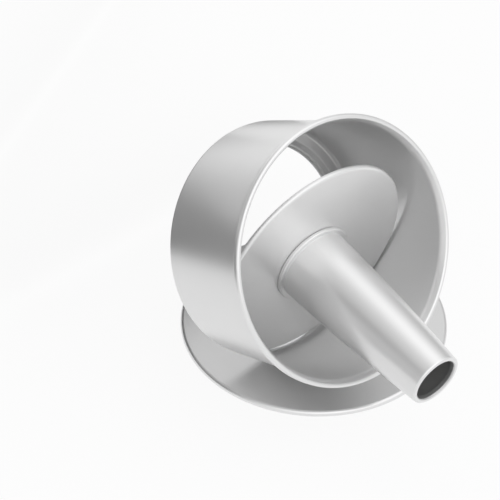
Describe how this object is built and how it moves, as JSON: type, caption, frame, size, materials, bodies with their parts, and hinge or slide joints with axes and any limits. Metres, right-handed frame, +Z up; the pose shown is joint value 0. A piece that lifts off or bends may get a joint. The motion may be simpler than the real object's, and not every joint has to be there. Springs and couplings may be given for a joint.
{
  "type": "angel food cake pan",
  "caption": "Angel food cake pan taken apart: tapered ring with flared rim and floor ledge, loose floor plate with chimney tube, and a flat base plate it stands on.",
  "frame": {"origin": "middle of the base plate, on the surface that its turned-down edge stands on", "axes": "+Z up, -Y the way the ring's mouth and the tube point, +X to the right of that as seen from the front"},
  "size_m": [0.2328, 0.2693, 0.2162],
  "materials": {
    "ring_metal": "satin anodised",
    "plate_metal": "satin anodised",
    "tube_metal": "satin anodised",
    "base_metal": "satin anodised"
  },
  "bodies": {
    "base": {"base_plate": "base_metal"},
    "ring": {"outer_ring": "ring_metal"},
    "insert": {"floor_plate": "plate_metal", "chimney_tube": "tube_metal"}
  },
  "joints": [
    {"name": "ring_lift", "type": "slide", "parent": "base", "child": "ring", "axis": [0, 0, 1], "range_m": [0, 0.15]},
    {"name": "insert_draw", "type": "slide", "parent": "ring", "child": "insert", "axis": [0, -0.8957, 0.4446], "range_m": [0, 0.13]}
  ]
}
